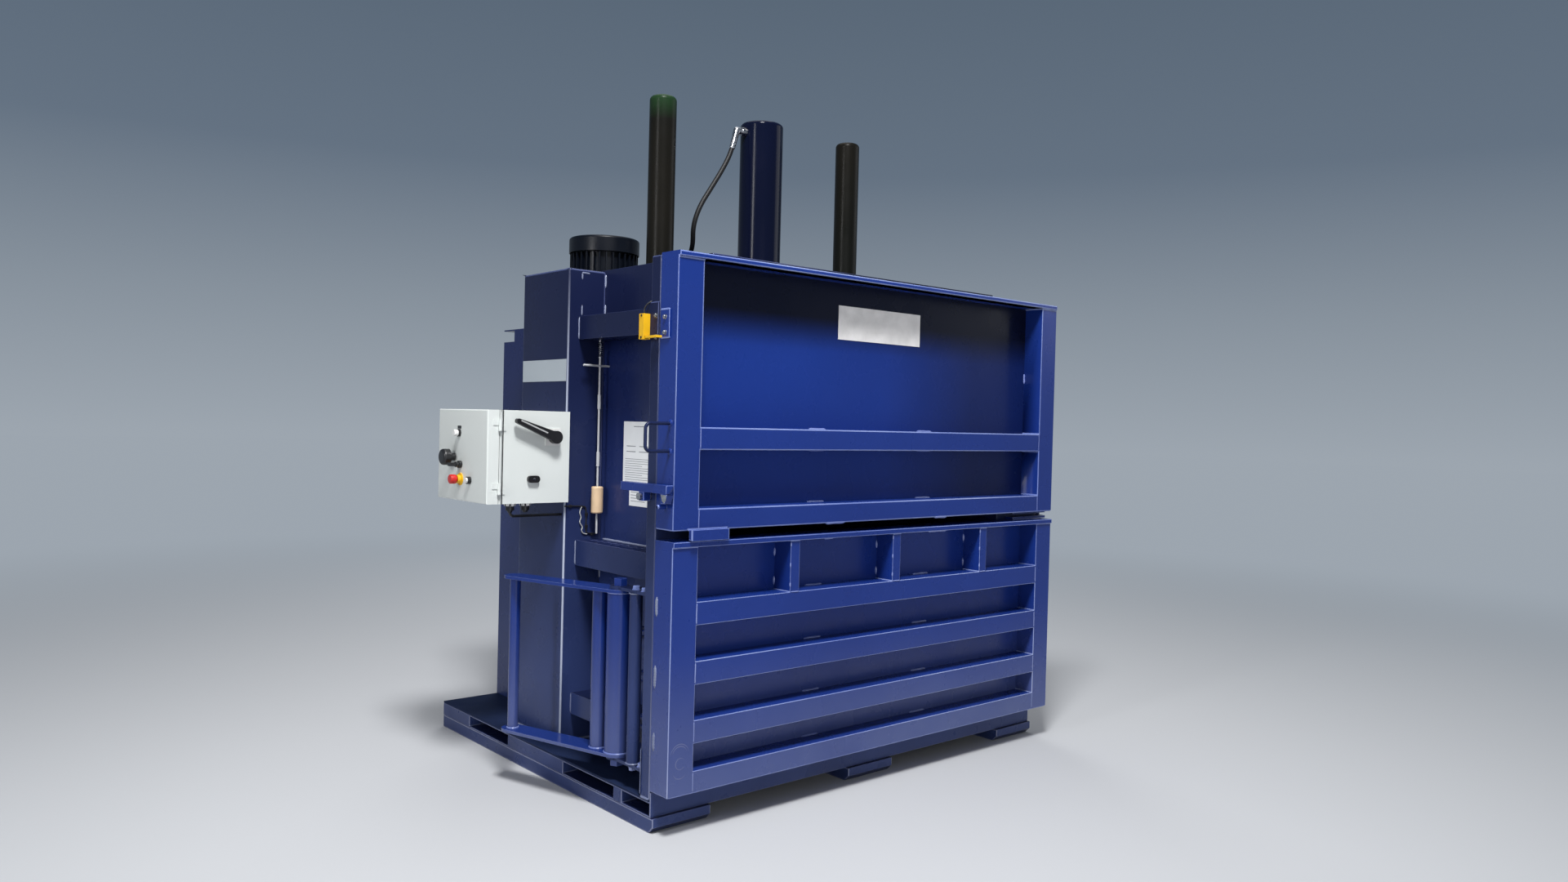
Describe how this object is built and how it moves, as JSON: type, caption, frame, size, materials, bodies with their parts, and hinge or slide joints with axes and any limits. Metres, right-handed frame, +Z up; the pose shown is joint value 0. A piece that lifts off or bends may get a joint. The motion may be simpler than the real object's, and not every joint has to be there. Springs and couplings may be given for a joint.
{
  "type": "vertical recycling baler",
  "caption": "Floor-standing vertical baling press with split swing doors, long door-lock lever, hydraulic ram with guide tubes, roof power pack and side control box.",
  "frame": {"origin": "on the floor, in the middle of the machine's width and of its runners' length, under the middle runner", "axes": "+X to the right along the doors, +Y from the doors into the machine, +Z up"},
  "size_m": [2.574, 1.835, 2.868],
  "materials": {
    "blue_paint": "gloss",
    "navy_paint": "gloss",
    "black_paint": "satin",
    "black_steel": "oiled",
    "bright_steel": "satin",
    "grey_paint": "satin",
    "black_plastic": "matte",
    "red_plastic": "gloss",
    "yellow_plastic": "satin",
    "white_plastic": "gloss",
    "pale_plate": "satin",
    "cream_plastic": "gloss",
    "hose_rubber": "satin",
    "control_mix": "matte"
  },
  "bodies": {
    "frame": {"skids": "blue_paint", "base_frame": "blue_paint", "platform_plate": "blue_paint", "floor_bars": "blue_paint", "front_frame": "blue_paint", "chamber_walls": "blue_paint", "side_rails": "blue_paint", "press_columns": "blue_paint", "bridge": "blue_paint", "guide_sleeves": "blue_paint", "cylinder_barrel": "navy_paint", "flange_bolts": "bright_steel", "cylinder_gland": "bright_steel", "port_elbow": "bright_steel", "pressure_hose": "hose_rubber", "oil_tank": "blue_paint", "tank_lid": "blue_paint", "motor_body": "black_paint", "fan_cover": "black_paint", "gear_pump": "bright_steel", "valve_block": "bright_steel", "hinge_lugs": "blue_paint", "hinge_pins": "bright_steel", "lock_brackets": "blue_paint", "lock_pins": "bright_steel", "latch_pin": "bright_steel", "safety_switch": "yellow_plastic", "box_body": "grey_paint", "control_gear": "control_mix", "cable_glands": "black_plastic", "isolator_plate": "white_plastic", "conduit": "black_plastic", "pull_spring": "bright_steel", "blank_plates": "pale_plate"},
    "upper_door": {"upper_door_frame": "blue_paint", "upper_door_skin": "blue_paint", "door_handle": "blue_paint", "name_plate": "pale_plate", "switch_key": "yellow_plastic"},
    "lower_door": {"lower_door_frame": "blue_paint", "lower_door_skin": "blue_paint", "lock_keepers": "blue_paint"},
    "press": {"platen": "blue_paint", "piston_rod": "bright_steel", "guide_tubes": "black_steel"},
    "rotor": {"motor_rotor": "bright_steel"},
    "lock": {"lock_lever": "blue_paint"},
    "latch": {"latch_lever": "blue_paint"},
    "control_lid": {"box_lid": "grey_paint", "button_bezels": "black_plastic", "estop_ring": "yellow_plastic", "indicator_lamp": "white_plastic"},
    "estop": {"estop_head": "red_plastic"},
    "palm": {"palm_button": "black_plastic"},
    "push": {"push_button": "white_plastic"},
    "selector": {"selector_lever": "black_plastic"},
    "isolator": {"isolator_handle": "black_plastic"},
    "quarter_turn": {"box_lock": "black_plastic"},
    "pull": {"pull_rod": "bright_steel", "pull_grip": "cream_plastic"}
  },
  "joints": [
    {"name": "upper_door_hinge", "type": "hinge", "parent": "frame", "child": "upper_door", "pos_m": [1.13, -0.83, 1.56], "axis": [0, 0, 1], "range_deg": [0, 120]},
    {"name": "lower_door_hinge", "type": "hinge", "parent": "frame", "child": "lower_door", "pos_m": [1.13, -0.83, 0.6], "axis": [0, 0, 1], "range_deg": [0, 120]},
    {"name": "press_stroke", "type": "slide", "parent": "frame", "child": "press", "axis": [0, 0, -1], "range_m": [0, 0.8]},
    {"name": "motor_shaft", "type": "hinge", "parent": "frame", "child": "rotor", "pos_m": [-0.574, 0.38, 2.1], "axis": [0, 0, 1], "continuous": true},
    {"name": "lock_pivot", "type": "hinge", "parent": "frame", "child": "lock", "pos_m": [-1.06, -0.573, 0.515], "axis": [0, 0, 1], "range_deg": [-12, 70]},
    {"name": "latch_pivot", "type": "hinge", "parent": "frame", "child": "latch", "pos_m": [-1.115, -0.8, 1.19], "axis": [1, 0, 0], "range_deg": [-25, 6]},
    {"name": "box_hinge", "type": "hinge", "parent": "frame", "child": "control_lid", "pos_m": [-1.311, -0.082, 1.3], "axis": [0, 0, 1], "range_deg": [0, 120]},
    {"name": "estop_push", "type": "slide", "parent": "control_lid", "child": "estop", "axis": [1, 0, 0], "range_m": [0, 0.004]},
    {"name": "palm_push", "type": "slide", "parent": "control_lid", "child": "palm", "axis": [1, 0, 0], "range_m": [0, 0.004], "stiffness_N_per_m": 1500},
    {"name": "button_push", "type": "slide", "parent": "control_lid", "child": "push", "axis": [1, 0, 0], "range_m": [0, 0.0025], "stiffness_N_per_m": 1200},
    {"name": "selector_turn", "type": "hinge", "parent": "control_lid", "child": "selector", "pos_m": [-1.362, 0.155, 1.262], "axis": [1, 0, 0], "range_deg": [-45, 45]},
    {"name": "isolator_turn", "type": "hinge", "parent": "frame", "child": "isolator", "pos_m": [-1.078, -0.1, 1.381], "axis": [0, 1, 0], "range_deg": [0, 90]},
    {"name": "box_lock_turn", "type": "hinge", "parent": "frame", "child": "quarter_turn", "pos_m": [-1.163, -0.082, 1.212], "axis": [0, 1, 0], "range_deg": [0, 90]},
    {"name": "pull_travel", "type": "slide", "parent": "frame", "child": "pull", "axis": [0, 0, -1], "range_m": [0, 0.025], "stiffness_N_per_m": 900, "springref_m": -0.02, "deforming": ["pull_spring"]}
  ]
}
